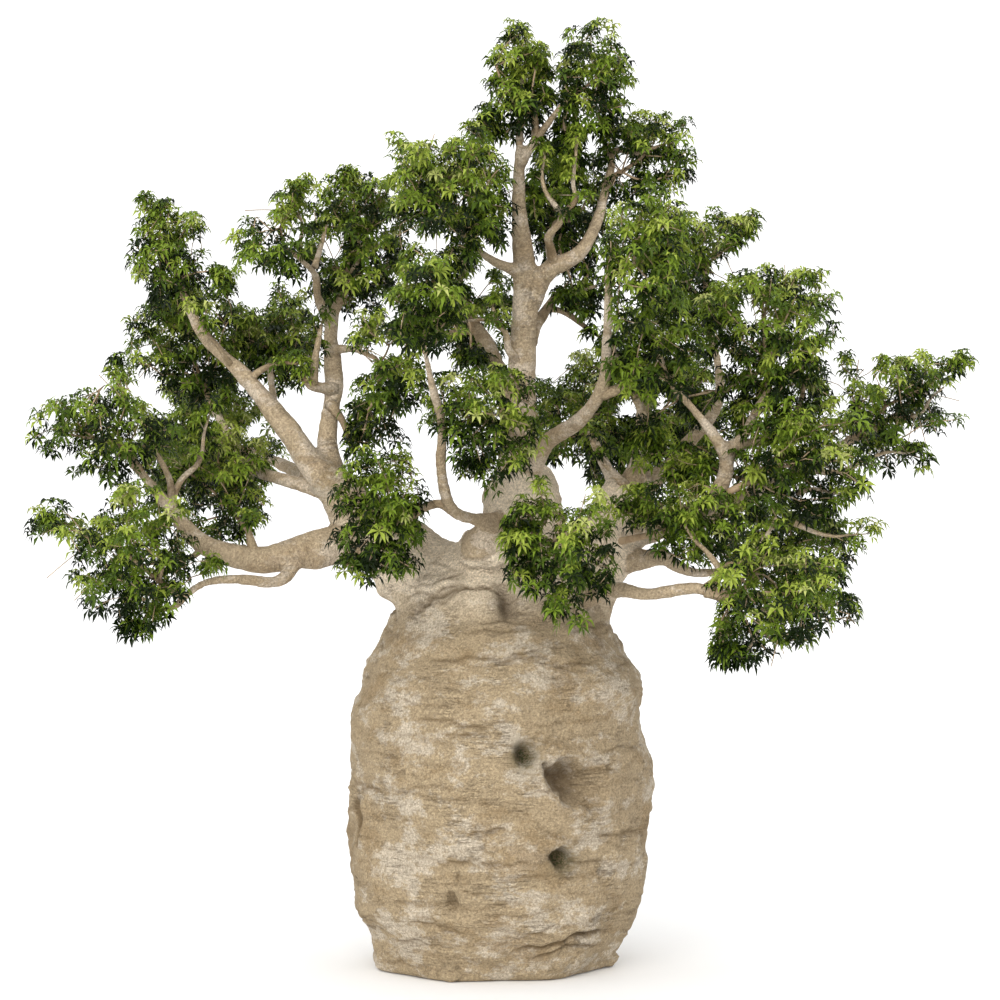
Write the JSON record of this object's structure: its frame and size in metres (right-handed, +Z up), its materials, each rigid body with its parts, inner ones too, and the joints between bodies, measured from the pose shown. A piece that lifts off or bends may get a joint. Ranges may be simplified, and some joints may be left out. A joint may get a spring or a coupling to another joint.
{
  "type": "baobab tree",
  "caption": "Bottle-trunked baobab tree with a fat pale trunk, stout boles, winding boughs and ragged masses of drooping dark green leaves",
  "frame": {"origin": "middle of the flat cut under the trunk, at ground level", "axes": "+Z up, -Y towards the viewer of the picture, +X to that viewer's right"},
  "size_m": [9.2653, 7.2408, 9.4389],
  "materials": {
    "trunk_bark": "rough pale bark",
    "bough_bark": "rough pale bark",
    "foliage": "satin leaf"
  },
  "bodies": {
    "root": {"trunk": "trunk_bark", "bough_left_tip": "bough_bark", "bough_left_low": "bough_bark", "bough_left_mid": "bough_bark", "bough_left_tall": "bough_bark", "bough_left_broad": "bough_bark", "bough_left_inner": "bough_bark", "bough_left_crown": "bough_bark", "bough_left_peak": "bough_bark", "bough_mid_left": "bough_bark", "bough_heart_left": "bough_bark", "bough_top": "bough_bark", "bough_heart_upper": "bough_bark", "bough_heart_low": "bough_bark", "bough_stem_front": "bough_bark", "bough_top_right": "bough_bark", "bough_right_peak": "bough_bark", "bough_stem_right": "bough_bark", "bough_right_upper": "bough_bark", "bough_right_shoulder": "bough_bark", "bough_right_outer": "bough_bark", "bough_right_middle": "bough_bark", "bough_right_wide": "bough_bark", "bough_far_right": "bough_bark", "bough_right_low": "bough_bark", "bough_right_skirt": "bough_bark", "bough_back_stem": "bough_bark", "bough_back_left": "bough_bark", "bough_back_right": "bough_bark", "leaves_left_tip": "foliage", "leaves_left_low": "foliage", "leaves_left_mid": "foliage", "leaves_left_tall": "foliage", "leaves_left_broad": "foliage", "leaves_left_inner": "foliage", "leaves_left_crown": "foliage", "leaves_left_peak": "foliage", "leaves_mid_left": "foliage", "leaves_heart_left": "foliage", "leaves_top": "foliage", "leaves_heart_upper": "foliage", "leaves_heart_low": "foliage", "leaves_stem_front": "foliage", "leaves_top_right": "foliage", "leaves_right_peak": "foliage", "leaves_stem_right": "foliage", "leaves_right_upper": "foliage", "leaves_right_shoulder": "foliage", "leaves_right_outer": "foliage", "leaves_right_middle": "foliage", "leaves_right_wide": "foliage", "leaves_far_right": "foliage", "leaves_right_low": "foliage", "leaves_right_skirt": "foliage", "leaves_back_stem": "foliage", "leaves_back_left": "foliage", "leaves_back_right": "foliage", "leaves_front_left": "foliage", "leaves_front_right": "foliage", "leaves_right_under": "foliage"}
  },
  "joints": []
}
